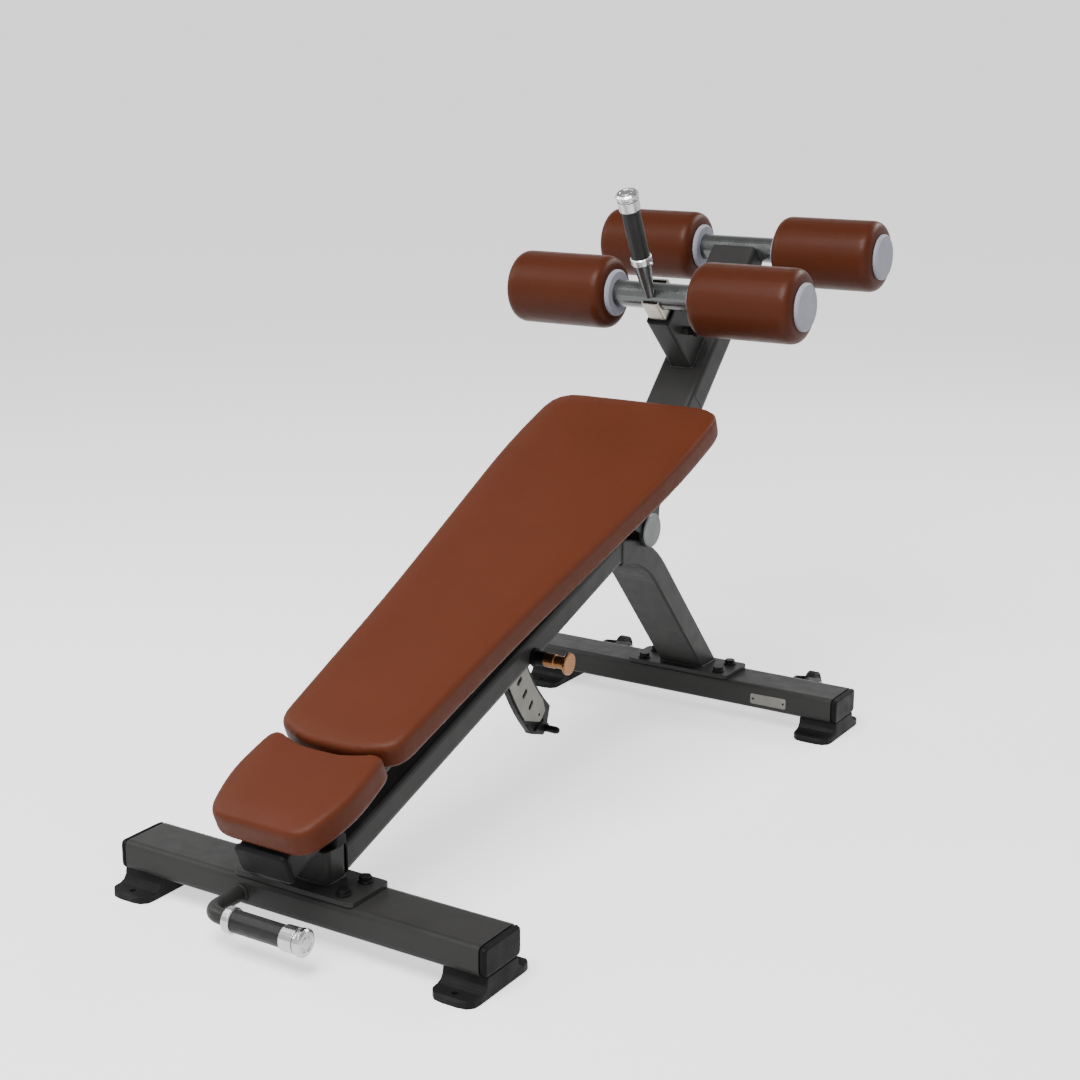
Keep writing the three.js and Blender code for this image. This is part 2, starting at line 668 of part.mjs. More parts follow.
// A cushion with a well-rounded top edge, and a pocket in its back for the board.
function cushion(outline, thickness) {
  const bottom = PAD_TOP - thickness;
  const rounded = [30, 60, 90].map((turn) => {
    const inset = PAD_EDGE * (1 - Math.cos(radians(turn)));
    return [outline(inset), PAD_TOP - PAD_EDGE * (1 - Math.sin(radians(turn)))];
  });
  const tucked = [1, 0.5, 0.15].map((share, step) => [outline(PAD_TUCK * share), bottom + step * 5]);
  const body = lofted([...tucked, [outline(0), bottom + 17], [outline(0), PAD_TOP - PAD_EDGE], ...rounded]);
  return body.subtract(upZ(outline(BOARD_INSET), bottom - 1, bottom + PAD_BOARD));
}

function padBoard(outline, thickness) {
  const bottom = PAD_TOP - thickness;
  return upZ(outline(BOARD_INSET + GAP), bottom, bottom + PAD_BOARD - GAP);
}

// Flat crossbar on the carrier that a pad board is screwed to.
function padBar(y, halfWidth, thickness = PAD_THICKNESS) {
  return box(-halfWidth, halfWidth, y - 22, y + 22, CARRIER_TOP - 1, PAD_TOP - thickness - GAP);
}

// Main carrier tube with its pad bars and the two hinge lugs, cut where the arm is welded on.
function carrierFrame() {
  const centre = CARRIER_TOP - TUBE_DEPTH / 2;
  const tube = tubeY(TUBE_WIDTH, TUBE_DEPTH, CARRIER_LOW_END + CAP_LENGTH, CARRIER_HIGH_END, centre);
  const bars = [padBar(60, 130), padBar(-300, 100), padBar(-760, 85), padBar(-1010, 80, HEAD_PAD_THICKNESS)];
  const lug = shapeOf([
    ...arc(PIVOT_HEAD_RADIUS, 180 - CARRIER_ANGLE, 360 - CARRIER_ANGLE, 12),
    [48, 22], [110, 52], [176, 110], [150, 140], [-140, 140], [-112, 100],
  ]);
  const lugs = [-1, 1].map((side) => {
    const [a, b] = [side * LUG_INNER, side * LUG_OUTER];
    return acrossX(lug, Math.min(a, b), Math.max(a, b));
  });
  const armSeat = inArmFrame(box(-49.3, 49.3, 0, 900, -200, ARM_FRONT + GAP));
  const pinHole = rodX(PIVOT_PIN_RADIUS + 0.4, -80, 80, [0, 0]);
  const open = box(-TUBE_WIDTH / 2 - 0.1, TUBE_WIDTH / 2 + 0.1, CARRIER_HIGH_END - 40, 400, 0, 105);
  return cut(join(cut(tube, armSeat, open), ...bars, ...lugs), pinHole);
}

// Turns a body made in the arm's frame into the carrier's frame.
function inArmFrame(body) {
  const turn = new THREE.Matrix4().makeRotationX(radians(ARM_ANGLE - CARRIER_ANGLE));
  return body.transform(turn.elements);
}

// End cap a little larger than the tube all round, with a plug inside it.
function carrierEndCap() {
  const centre = CARRIER_TOP - TUBE_DEPTH / 2;
  const face = rectangle(TUBE_WIDTH + 6, TUBE_DEPTH + 4, TUBE_CORNER + 2);
  const plugShape = rectangle(TUBE_WIDTH - 2 * WALL - 1, TUBE_DEPTH - 2 * WALL - 1, TUBE_CORNER - WALL);
  return join(
    alongY(face, CARRIER_LOW_END, CARRIER_LOW_END + CAP_LENGTH - GAP, centre, 5),
    alongY(plugShape, CARRIER_LOW_END + 4, CARRIER_LOW_END + CAP_LENGTH + 16, centre),
  );
}

// Pivot pin with its wide flat head on the right, in the frame's own coordinates.
function pivotPin() {
  const head = LUG_OUTER + GAP;
  return turned([
    [-LUG_OUTER - 1, 0], [-LUG_OUTER - 1, PIVOT_PIN_RADIUS], [head, PIVOT_PIN_RADIUS],
    [head, PIVOT_HEAD_RADIUS], [head + 4, PIVOT_HEAD_RADIUS], [head + 6, PIVOT_HEAD_RADIUS - 3],
    [head + 6, 0],
  ], [0, 0], 32);
}

function pivotPinCap() {
  const face = -LUG_OUTER - GAP;
  return turned([
    [face - 6, 0], [face - 6, PIVOT_HEAD_RADIUS - 3], [face - 4, PIVOT_HEAD_RADIUS],
    [face, PIVOT_HEAD_RADIUS], [face, PIVOT_PIN_RADIUS + 0.3], [face - 1.2, PIVOT_PIN_RADIUS + 0.3],
    [face - 1.2, 0],
  ], [0, 0], 32);
}

// ---------------------------------------------------------------- sector plate

// Angle in the carrier's frame of locking slot i; slot 0 is at the pull pin at rest.
function slotAngle(i) {
  return PIN_ANGLE - CARRIER_ANGLE + i * HOLE_STEP;
}

function lockingSlots() {
  const slots = [];
  for (let i = 0; i < HOLE_COUNT; i++) {
    const angle = slotAngle(i);
    const centre = polar(SECTOR_RADIUS, angle);
    const reach = (SLOT_LENGTH - SLOT_WIDTH) / 2;
    const tilt = angle + SLOT_TILT;
    const outline = [
      ...arc(SLOT_WIDTH / 2, tilt - 90, tilt + 90, 6, polar(reach, tilt, centre)),
      ...arc(SLOT_WIDTH / 2, tilt + 90, tilt + 270, 6, polar(-reach, tilt, centre)),
    ];
    slots.push(acrossX(shapeOf(outline), -30, 30));
  }
  return slots;
}

// Sector plate: hangs from the carrier through the rail, and ends in a rubber stop and a stop pin.
function sectorPlate() {
  const top = CARRIER_TOP - TUBE_DEPTH - GAP;
  const startAngle = (radius) => 180 - THREE.MathUtils.radToDeg(Math.asin(top / radius));
  const low = slotAngle(HOLE_COUNT - 1) + 9;
  const band = shapeOf([
    ...arc(SECTOR_INNER, startAngle(SECTOR_INNER), low, 10),
    polar(SECTOR_INNER + 30, low + 2),
    polar(SECTOR_OUTER - 10, low),
    ...arc(SECTOR_OUTER, low - 4, startAngle(SECTOR_OUTER), 10),
  ]);
  const [left, right] = [SECTOR_RIGHT - SECTOR_THICKNESS, SECTOR_RIGHT];
  const plate = acrossX(band, left, right);
  const flange = box(left - 18, right + 18, -SECTOR_OUTER + 8, -SECTOR_INNER + 18, top - 6, top);
  const stopOutline = shapeOf([
    polar(SECTOR_INNER + 32, low - 1), polar(SECTOR_INNER + 30, low + 2.4),
    polar(SECTOR_OUTER - 16, low + 1.6), polar(SECTOR_OUTER + 1, low - 3), polar(SECTOR_OUTER - 3, low - 6.4),
    polar(SECTOR_OUTER - 8, low - 2.6),
  ]);
  const stop = acrossX(stopOutline, left - 2, right + 4, 2);
  const stopPin = turned([
    [left, 0], [left, 7], [24, 7], [29, 5.5], [31, 2.5], [31, 0],
  ], polar(SECTOR_RADIUS + 5, low + 1.2), 16);
  return cut(join(plate, flange, stop, stopPin), ...lockingSlots());
}

// Bright facing on the sector's right side, drilled with the same slots.
function sectorFacing() {
  const low = slotAngle(HOLE_COUNT - 1) + 7;
  const band = shapeOf([
    ...arc(FACING_INNER, 171, low - 3, 10),
    polar(FACING_INNER + 10, low),
    polar(FACING_OUTER - 26, low),
    ...arc(FACING_OUTER, low - 6, 171, 10),
  ]);
  const rivet = rodX(3, -30, 30, polar(SECTOR_RADIUS - 4, low - 1.8), 12);
  const left = SECTOR_RIGHT + GAP;
  return cut(acrossX(band, left, left + FACING_THICKNESS), ...lockingSlots(), rivet);
}

// Guide barrel of the pull pin on the rail's right side.
function pinHousing() {
  const face = TUBE_WIDTH / 2 + GAP;
  return turned([
    [face, 5.6], [face, HOUSING_RADIUS + 4], [face + 4, HOUSING_RADIUS + 4],
    [face + 4, HOUSING_RADIUS], [face + 24, HOUSING_RADIUS], [face + 24, 5.6], [face, 5.6],
  ], pinPlace());
}

// Pull pin with its copper-coloured knob; the nose stands just clear of the sector facing.
function pullPin() {
  const nose = SECTOR_RIGHT + GAP + FACING_THICKNESS + 0.7;
  const knob = TUBE_WIDTH / 2 + 25;
  return turned([
    [nose, 0], [nose, 3.6], [nose + 3, 4.2], [nose + 20, 5], [knob, 5], [knob, HOUSING_RADIUS],
    [knob + 20, HOUSING_RADIUS], [knob + 22, 11.5], [knob + 42, 11.5], [knob + 43, 18],
    [knob + 45, 20], [knob + 49, 20], [knob + 50, 18], [knob + 50, 0],
  ], pinPlace());
}

// ---------------------------------------------------------------- leg-hold arm

// Arm tube with the slide socket welded on its front face, in the arm's frame.
function legArm() {
  const centre = (ARM_FRONT + ARM_BACK) / 2;
  const depth = ARM_FRONT - ARM_BACK;
  const outer = alongY(rectangle(TUBE_WIDTH, depth, TUBE_CORNER), ARM_LOW_END, ARM_HIGH_END, centre);
  const innerShape = rectangle(TUBE_WIDTH - 2 * WALL, depth - 2 * WALL, TUBE_CORNER - WALL);
  const inner = alongY(innerShape, ARM_LOW_END - 1, ARM_HIGH_END + 1, centre);
  const socketOutline = shiftedShape(rectangle(SOCKET_WIDTH, SOCKET_DEPTH, 6), 0, FRONT_AXLE_ALONG);
  const hollowShape = rectangle(SOCKET_WIDTH - 2 * WALL, SOCKET_DEPTH - 2 * WALL, 3);
  const socket = upZ(socketOutline, ARM_FRONT - 2, SOCKET_MOUTH);
  const hollow = upZ(shiftedShape(hollowShape, 0, FRONT_AXLE_ALONG), ARM_FRONT, SOCKET_MOUTH + 1);
  const pinCentre = [SLIDE_PIN_ALONG, SLIDE_PIN_OUT];
  const boss = rodX(9, SOCKET_WIDTH / 2 - 2, SOCKET_WIDTH / 2 + 13, pinCentre);
  const pinHole = rodX(5, 5, 60, pinCentre);
  const axle = rodX(AXLE_RADIUS + GAP, -90, 90, [REAR_AXLE_ALONG, 0], 32);
  const lugRoom = [-1, 1].map((side) => {
    const [a, b] = [side * 49.2, side * 70];
    return box(Math.min(a, b), Math.max(a, b), 0, 300, -60, 60);
  });
  const tube = cut(outer, inner, axle, ...lugRoom);
  return cut(join(tube, socket, boss), hollow, pinHole);
}

// Black plastic liner in the socket's mouth, with a rim on top.
function socketBush() {
  const rim = shiftedShape(rectangle(SOCKET_WIDTH, SOCKET_DEPTH, 6), 0, FRONT_AXLE_ALONG);
  const sleeveShape = rectangle(SOCKET_WIDTH - 2 * WALL - 0.6, SOCKET_DEPTH - 2 * WALL - 0.6, 3);
  const sleeve = shiftedShape(sleeveShape, 0, FRONT_AXLE_ALONG);
  const bore = shiftedShape(rectangle(SLIDE_WIDTH + 0.8, SLIDE_DEPTH + 0.8, 3), 0, FRONT_AXLE_ALONG);
  const body = join(
    upZ(rim, SOCKET_MOUTH + GAP, SOCKET_MOUTH + 5, 1),
    upZ(sleeve, SOCKET_MOUTH - 36, SOCKET_MOUTH + 2),
  );
  return body.subtract(upZ(bore, SOCKET_MOUTH - 40, SOCKET_MOUTH + 10));
}

// Pull pin of the slide; its nose stands just clear of the slide tube.
function slidePin() {
  const nose = SLIDE_WIDTH / 2 + 0.7;
  const knob = SOCKET_WIDTH / 2 + 13.6;
  return turned([
    [nose, 0], [nose, 4], [nose + 2, 4.6], [knob, 4.6], [knob, 9], [knob + 6, 8],
    [knob + 12, 11], [knob + 18, 11], [knob + 20, 8], [knob + 20, 0],
  ], [SLIDE_PIN_ALONG, SLIDE_PIN_OUT], 20);
}

// Plated tube that slides in the socket; its top is saddled over the front axle.
function slideTube() {
  const section = shiftedShape(rectangle(SLIDE_WIDTH, SLIDE_DEPTH, 4), 0, FRONT_AXLE_ALONG);
  const hollowShape = rectangle(SLIDE_WIDTH - 2 * WALL, SLIDE_DEPTH - 2 * WALL, 2);
  const hollow = shiftedShape(hollowShape, 0, FRONT_AXLE_ALONG);
  const axle = rodX(AXLE_RADIUS + GAP, -60, 60, [FRONT_AXLE_ALONG, FRONT_AXLE_OUT], 32);
  const holes = [];
  for (let i = 0; i < SLIDE_HOLES; i++) {
    holes.push(rodX(4.9, 5, 60, [SLIDE_PIN_ALONG, SLIDE_PIN_OUT - i * SLIDE_HOLE_SPACING], 16));
  }
  return cut(
    upZ(section, SLIDE_INNER_END, SLIDE_OUTER_END),
    upZ(hollow, SLIDE_INNER_END - 1, SLIDE_OUTER_END + 1),
    axle,
    ...holes,
  );
}

// Roller axle: an open tube across the bench.
function rollerAxle(place) {
  const [r, half] = [AXLE_RADIUS, AXLE_HALF_LENGTH];
  return turned([
    [-half, r - WALL], [-half, r], [half, r], [half, r - WALL], [-half, r - WALL],
  ], place, 32);
}

// The three pieces of one foam roller. Side is -1 for the left roller and 1 for the right one.
function roller(group, name, side, place) {
  const inner = ROLLER_INNER_FACE;
  const foamStart = inner + FLANGE_THICKNESS + GAP;
  const foamEnd = ROLLER_OUTER_FACE - FLANGE_THICKNESS - GAP;
  const sleeve = AXLE_RADIUS + 0.4;
  const sleeveOuter = AXLE_RADIUS + 3.4;
  const bore = sleeveOuter + GAP;
  const foam = turned([
    [foamStart, bore], [foamStart, ROLLER_RADIUS - 16], [foamStart + 5, ROLLER_RADIUS - 5],
    [foamStart + 16, ROLLER_RADIUS], [foamEnd - 16, ROLLER_RADIUS],
    [foamEnd - 5, ROLLER_RADIUS - 5], [foamEnd, ROLLER_RADIUS - 16], [foamEnd, bore],
    [foamStart, bore],
  ], place, ROLLER_SEGMENTS);
  const hub = turned([
    [inner, sleeve], [inner, FLANGE_RADIUS - 4], [inner + 3, FLANGE_RADIUS],
    [inner + FLANGE_THICKNESS, FLANGE_RADIUS],
    [inner + FLANGE_THICKNESS, sleeveOuter], [foamEnd, sleeveOuter], [foamEnd, sleeve], [inner, sleeve],
  ], place, ROLLER_SEGMENTS);
  const outer = ROLLER_OUTER_FACE;
  const capBase = outer - FLANGE_THICKNESS;
  const plug = AXLE_RADIUS - WALL - 0.5;
  const cap = turned([
    [capBase - 22, 0], [capBase - 22, plug], [capBase, plug], [capBase, FLANGE_RADIUS],
    [outer - 3, FLANGE_RADIUS], [outer, FLANGE_RADIUS - 4], [outer, 0],
  ], place, ROLLER_SEGMENTS);
  const pieces = [["foam", foam, "foam"], ["hub", hub, "cap"], ["outer_cap", cap, "cap"]];
  for (const [piece, body, finish] of pieces) {
    addMesh(group, `${name}_${piece}`, side > 0 ? body : body.mirror([1, 0, 0]), finish);
  }
}

// Tube of the leg handle along X in its own frame. Its foot is a cone that widens from the front
// axle, over which it is notched, to the collar.
function legHandleTube(axle) {
  const collarStart = LEG_HANDLE_LENGTH - LEG_CAP_LENGTH - LEG_GRIP_LENGTH - COLLAR_LENGTH - 2 * GAP;
  const [r, shoulder, end] = [HANDLE_TUBE_RADIUS, collarStart - GAP, LEG_HANDLE_LENGTH - 15];
  const stem = turned([[-6, 0], [-6, 9.5], [shoulder, r + 5], [shoulder, r], [end, r], [end, 0]], [0, 0], 24);
  return stem.subtract(axle);
}

// ---------------------------------------------------------------- assembly

const sides = [["left", -1], ["right", 1]];

function buildFixedFrame(frame) {
  addMesh(frame, "front_beam", crossBeam(0), "paint");
  addMesh(frame, "rear_beam", rearBeam(), "paint");
  for (const [end, y0] of [["front", 0], ["rear", REAR_BEAM_Y]]) {
    for (const [name, side] of sides) {
      addMesh(frame, `${end}_beam_cap_${name}`, beamCap(y0, side), "black");
      addMesh(frame, `${end}_foot_${name}`, foot(y0, side), "rubber");
    }
  }
  addMesh(frame, "front_post", frontPost(), "paint");
  addMesh(frame, "front_post_bolts", boltSet(0), "black");
  addMesh(frame, "stop_bumper", stopBumper(), "rubber");
  addMesh(frame, "main_rail", mainRail(), "paint");
  addMesh(frame, "rear_leg", rearLeg(), "paint");
  addMesh(frame, "rear_leg_bolts", boltSet(REAR_BEAM_Y), "black");
  addMesh(frame, "pin_housing", pinHousing(), "black");
  addMesh(frame, "pull_pin", pullPin(), "copper");
  addMesh(frame, "transport_handle_tube", transportHandleTube(), "paint");
  gripSet(
    frame, "transport_handle", TRANSPORT_END_X, [TRANSPORT_HANDLE_Y, TRANSPORT_HANDLE_Z],
    TRANSPORT_GRIP_LENGTH, TRANSPORT_CAP_LENGTH,
  );
  for (const [name, side] of sides) {
    addMesh(frame, `pivot_bush_${name}`, pivotBush(side), "black");
    addMesh(frame, `transport_wheel_${name}`, transportWheel(side), "rubber");
    addMesh(frame, `wheel_axle_${name}`, wheelAxle(side), "zinc");
  }
}

function buildCarrier(carrier) {
  addMesh(carrier, "carrier_frame", carrierFrame(), "paint");
  addMesh(carrier, "carrier_end_cap", carrierEndCap(), "black");
  addMesh(carrier, "main_pad", cushion(mainPadShape, PAD_THICKNESS), "foam");
  addMesh(carrier, "main_pad_board", padBoard(mainPadShape, PAD_THICKNESS), "board");
  addMesh(carrier, "head_pad", cushion(headPadShape, HEAD_PAD_THICKNESS), "foam");
  addMesh(carrier, "head_pad_board", padBoard(headPadShape, HEAD_PAD_THICKNESS), "board");
  addMesh(carrier, "pivot_pin", pivotPin(), "cap");
  addMesh(carrier, "pivot_pin_cap", pivotPinCap(), "cap");
  addMesh(carrier, "sector_plate", sectorPlate(), "black");
  addMesh(carrier, "sector_facing", sectorFacing(), "zinc");
}

function buildArm(arm) {
  const rearAxle = [REAR_AXLE_ALONG, 0];
  const frontAxle = [FRONT_AXLE_ALONG, FRONT_AXLE_OUT];
  addMesh(arm, "leg_arm", legArm(), "paint");
  addMesh(arm, "socket_bush", socketBush(), "black");
  addMesh(arm, "slide_pin", slidePin(), "black");
  addMesh(arm, "rear_axle", rollerAxle(rearAxle), "axle");
  addMesh(arm, "slide_tube", slideTube(), "nickel");
  addMesh(arm, "front_axle", rollerAxle(frontAxle), "axle");
  for (const [name, side] of sides) {
    roller(arm, `rear_roller_${name}`, side, rearAxle);
    roller(arm, `front_roller_${name}`, side, frontAxle);
  }
}

// The leg handle is made along X and stood up, leaning forward over the front axle.
function buildLegHandle(bench, arm) {
  const handle = new THREE.Group();
  handle.position.set(0, ...LEG_HANDLE_ROOT);
  handle.rotation.set(radians(LEG_HANDLE_LEAN), 0, 0);
  const upright = new THREE.Group();
  upright.rotation.set(0, -Math.PI / 2, 0);
  handle.add(upright);
  bench.add(handle);
  bench.updateMatrixWorld(true);
  const toHandle = upright.matrixWorld.clone().invert().multiply(arm.matrixWorld);
  const axle = rodX(AXLE_RADIUS + GAP, -60, 60, [FRONT_AXLE_ALONG, FRONT_AXLE_OUT], 32);
  addMesh(upright, "leg_handle_tube", legHandleTube(axle.transform(toHandle.elements)), "axle");
  gripSet(upright, "leg_handle", LEG_HANDLE_LENGTH, [0, 0], LEG_GRIP_LENGTH, LEG_CAP_LENGTH);
}

const bench = new THREE.Group();
const carrier = new THREE.Group();
carrier.position.set(0, ...PIVOT);
carrier.rotation.set(radians(CARRIER_ANGLE), 0, 0);
const arm = new THREE.Group();
arm.rotation.set(radians(ARM_ANGLE - CARRIER_ANGLE), 0, 0);
carrier.add(arm);
bench.add(carrier);

buildFixedFrame(bench);
buildCarrier(carrier);
buildArm(arm);
buildLegHandle(bench, arm);

// Origin on the floor under the middle of the bounding box.
bench.updateMatrixWorld(true);
const middle = new THREE.Box3().setFromObject(bench, true).getCenter(new THREE.Vector3());
bench.position.y = -middle.y;
bench.updateMatrixWorld(true);

export default bench;
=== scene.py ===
import json
import math

import bmesh
import bpy
from mathutils import Matrix, Vector


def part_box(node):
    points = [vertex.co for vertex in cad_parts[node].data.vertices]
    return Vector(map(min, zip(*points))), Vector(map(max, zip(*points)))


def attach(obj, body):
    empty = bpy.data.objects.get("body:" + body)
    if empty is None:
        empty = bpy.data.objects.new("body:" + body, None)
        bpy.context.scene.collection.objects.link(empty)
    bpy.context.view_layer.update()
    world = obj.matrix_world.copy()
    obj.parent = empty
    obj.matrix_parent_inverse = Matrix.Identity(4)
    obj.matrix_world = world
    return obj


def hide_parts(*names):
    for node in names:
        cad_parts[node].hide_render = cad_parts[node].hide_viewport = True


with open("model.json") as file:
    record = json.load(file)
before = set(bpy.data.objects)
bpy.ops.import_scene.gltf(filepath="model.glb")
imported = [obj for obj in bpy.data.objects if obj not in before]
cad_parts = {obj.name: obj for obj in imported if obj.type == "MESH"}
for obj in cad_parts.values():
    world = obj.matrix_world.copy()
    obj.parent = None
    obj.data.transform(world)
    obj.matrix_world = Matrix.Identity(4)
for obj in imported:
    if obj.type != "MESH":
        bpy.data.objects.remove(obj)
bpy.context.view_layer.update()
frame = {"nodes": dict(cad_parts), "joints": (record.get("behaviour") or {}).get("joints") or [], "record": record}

MM = 0.001

# Camera, as the bench is seen in its main view.
CAMERA_PLACE = Vector((1.7556, -2.7924, 1.3554))
CAMERA_AZIMUTH = math.radians(32.34)
CAMERA_ELEVATION = math.radians(14.77)
CAMERA_LENS = 62.1
SENSOR = 36.0

# Upholstery.
PAD_VOXEL = 5 * MM
PAD_PRESSURE = 4.0
PAD_STEPS = 20
PAD_SHRINK = 1.5 * MM
PAD_SWELL = 5 * MM
PAD_SMOOTHING = 2
SWELL_EVENING = 30  # the foam is firm, so the swelling is spread out and leaves no creases
PAD_HELD_DEPTH = 38 * MM  # below this depth under the top the cover is stapled to its board
ROLLER_SHRINK = 0.4 * MM
ROLLER_SWELL = 1.5 * MM
ROLLER_SMOOTHING = 4
ROLLER_HELD_SHARE = 0.72  # of the radius: nearer the axle the cover is glued down

# Small parts that the frame leaves to the looks.
WELD_RADIUS = 2.6 * MM
RAIL_WELD_RADIUS = 2 * MM
CHEEK_WELD_RADIUS = 1.6 * MM
WELD_STEP = 3 * MM
WELD_SIDES = 8
WELD_RIPPLE = 0.16  # share by which a bead's radius rises and falls
WELD_LIFT = 0.6 * MM  # from a joint to the plane of its bead
PLATE_RISE = 8.3 * MM  # top of a mounting plate above its beam
ARM_FACE = 37 * MM  # from the rear axle's centre to the plane of the bead on the arm's front
CHEEK_BEAD = 60 * MM  # from the wheels' axles forward to the plane of the beads on their cheeks
NAME_PLATE_SIZE = (80 * MM, 1.2 * MM, 22 * MM)
NAME_PLATE_PLACE = 0.61  # of the way from the middle of the beam to its end
NAME_PLATE_DROP = 3 * MM
NAME_PLATE_CORNER = 4 * MM
NAME_PLATE_RIM = 0.4 * MM
RIVET_INSET = 6 * MM
RIVET_HEAD = (2.4 * MM, 1.1 * MM)  # radius and height, as for the other heads
PAD_SCREW_HEAD = (6.5 * MM, 3.2 * MM)
HANDLE_SCREW_HEAD = (3.2 * MM, 6 * MM)
BOARD_DEPTH = 50 * MM  # from the top of the main pad to the underside of its board
CROSSBAR_DEPTH = 6.3 * MM  # from a board's underside to just behind the crossbar under it
SCREW_ROWS = ((60, 112), (-300, 82), (-760, 68), (-1010, 64))  # mm up the pads, mm to each side
HANDLE_SCREW_HEIGHT = 0.3  # of the collar's height

# Light: the sky is bright at the horizon and dim overhead, where the softboxes hang.
SKY_HORIZON = 1.4
SKY_OVERHEAD = 0.35
SKY_HEIGHTS = (0.2, 0.8)  # sines of the heights between which the sky dims
FLOOR_ALBEDO = 0.45


# ---------------------------------------------------------------- the frame's own measures

def mount(name):
    return next(m for m in frame["record"]["mounts"] if m["name"] == name)


def joint(name):
    return next(j for j in frame["joints"] if j["name"] == name)


def centre(node):
    low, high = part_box(node)
    return (low + high) / 2


def direction(joint_name):
    return Vector(joint(joint_name)["axis"]).normalized()


PAD_NORMAL = Vector(mount("seat_surface")["axis"]).normalized()
PAD_TOP = Vector(mount("seat_surface")["pos_m"])


def depth_below_pads(point):
    return (PAD_TOP - point).dot(PAD_NORMAL)


# ---------------------------------------------------------------- material helpers

class Tree:
    """A material's node tree, with short calls for the few nodes that the finishes share."""

    def __init__(self, name, colour, roughness, metallic=0.0, **sockets):
        self.material = bpy.data.materials.new(name)
        self.material.use_nodes = True
        self.nodes = self.material.node_tree.nodes
        self.links = self.material.node_tree.links
        self.shader = self.nodes["Principled BSDF"]
        self.set("Base Color", (*colour, 1.0))
        self.set("Roughness", roughness)
        self.set("Metallic", metallic)
        for socket, value in sockets.items():
            self.set(socket.replace("_", " ").title(), value)
        self.place = self.nodes.new("ShaderNodeTexCoord").outputs["Object"]

    def set(self, socket, value):
        self.shader.inputs[socket].default_value = value

    def drive(self, socket, output):
        self.links.new(output, self.shader.inputs[socket])

    def stretched(self, scale):
        """Object coordinates scaled by a different amount along each axis."""
        mapping = self.nodes.new("ShaderNodeMapping")
        mapping.inputs["Scale"].default_value = scale
        self.links.new(self.place, mapping.inputs["Vector"])
        return mapping.outputs["Vector"]

    def noise(self, scale, detail=2.0, roughness=0.5, place=None):
        node = self.nodes.new("ShaderNodeTexNoise")
        node.inputs["Scale"].default_value = scale
        node.inputs["Detail"].default_value = detail
        node.inputs["Roughness"].default_value = roughness
        self.links.new(place or self.place, node.inputs["Vector"])
        return node.outputs["Fac"]

    def cells(self, scale, feature="F1", place=None):
        node = self.nodes.new("ShaderNodeTexVoronoi")
        node.feature = feature
        node.inputs["Scale"].default_value = scale
        self.links.new(place or self.place, node.inputs["Vector"])
        return node.outputs["Distance"]

    def span(self, value, low, high, to_low=0.0, to_high=1.0):
        """A value mapped from one range to another, held at the ends."""
        node = self.nodes.new("ShaderNodeMapRange")
        node.inputs["From Min"].default_value = low
        node.inputs["From Max"].default_value = high
        node.inputs["To Min"].default_value = to_low
        node.inputs["To Max"].default_value = to_high
        self.links.new(value, node.inputs["Value"])
        return node.outputs["Result"]

    def maths(self, operation, a, b):
        node = self.nodes.new("ShaderNodeMath")
        node.operation = operation
        for socket, value in zip(node.inputs, (a, b)):
            if isinstance(value, (int, float)):
                socket.default_value = value
            else:
                self.links.new(value, socket)
        return node.outputs["Value"]

    def mix(self, factor, a, b):
        """A colour between two colours or colour outputs."""
        node = self.nodes.new("ShaderNodeMix")
        node.data_type = "RGBA"
        self.links.new(factor, node.inputs["Factor"])
        for socket, value in ((node.inputs[6], a), (node.inputs[7], b)):
            if isinstance(value, tuple):
                socket.default_value = (*value, 1.0)
            else:
                self.links.new(value, socket)
        return node.outputs[2]

    def bump(self, height, distance, strength=1.0, under=None):
        node = self.nodes.new("ShaderNodeBump")
        node.inputs["Distance"].default_value = distance
        node.inputs["Strength"].default_value = strength
        self.links.new(height, node.inputs["Height"])
        if under is not None:
            self.links.new(under, node.inputs["Normal"])
        return node.outputs["Normal"]

    def rounded(self, radius):
        """The normal with every sharp edge rounded off by a radius."""
        node = self.nodes.new("ShaderNodeBevel")
        node.samples = 6
        node.inputs["Radius"].default_value = radius
        return node.outputs["Normal"]

    def edge_mask(self, rounded, low=0.02, high=0.25):
        """1 on the object's edges and 0 on its faces."""
        geometry = self.nodes.new("ShaderNodeNewGeometry")
        dot = self.nodes.new("ShaderNodeVectorMath")
        dot.operation = "DOT_PRODUCT"
        self.links.new(rounded, dot.inputs[0])
        self.links.new(geometry.outputs["Normal"], dot.inputs[1])
        return self.span(self.maths("SUBTRACT", 1.0, dot.outputs["Value"]), low, high)


def scaled(colour, factor):
    return tuple(min(1.0, c * factor) for c in colour)


# ---------------------------------------------------------------- finishes

def powder_coat(name, colour, roughness=0.36, worn=1.6):
    """Semi-gloss powder coat: fine orange peel, faint mottling, paler worn edges."""
    tree = Tree(name, colour, roughness)
    tree.set("Specular IOR Level", 0.09)
    rounded = tree.rounded(1.5 * MM)
    edges = tree.maths("MULTIPLY", tree.edge_mask(rounded), tree.noise(60, 3.0))
    cloud = tree.span(tree.noise(9, 4.0, 0.6), 0.3, 0.7)
    base = tree.mix(cloud, scaled(colour, 0.92), scaled(colour, 1.1))
    tree.drive("Base Color", tree.mix(edges, base, scaled(colour, worn)))
    tree.drive("Roughness", tree.span(tree.noise(35, 4.0), 0.3, 0.7, roughness - 0.05, roughness + 0.07))
    tree.drive("Normal", tree.bump(tree.noise(900, 1.0), 0.05 * MM, 0.5, rounded))
    return tree.material


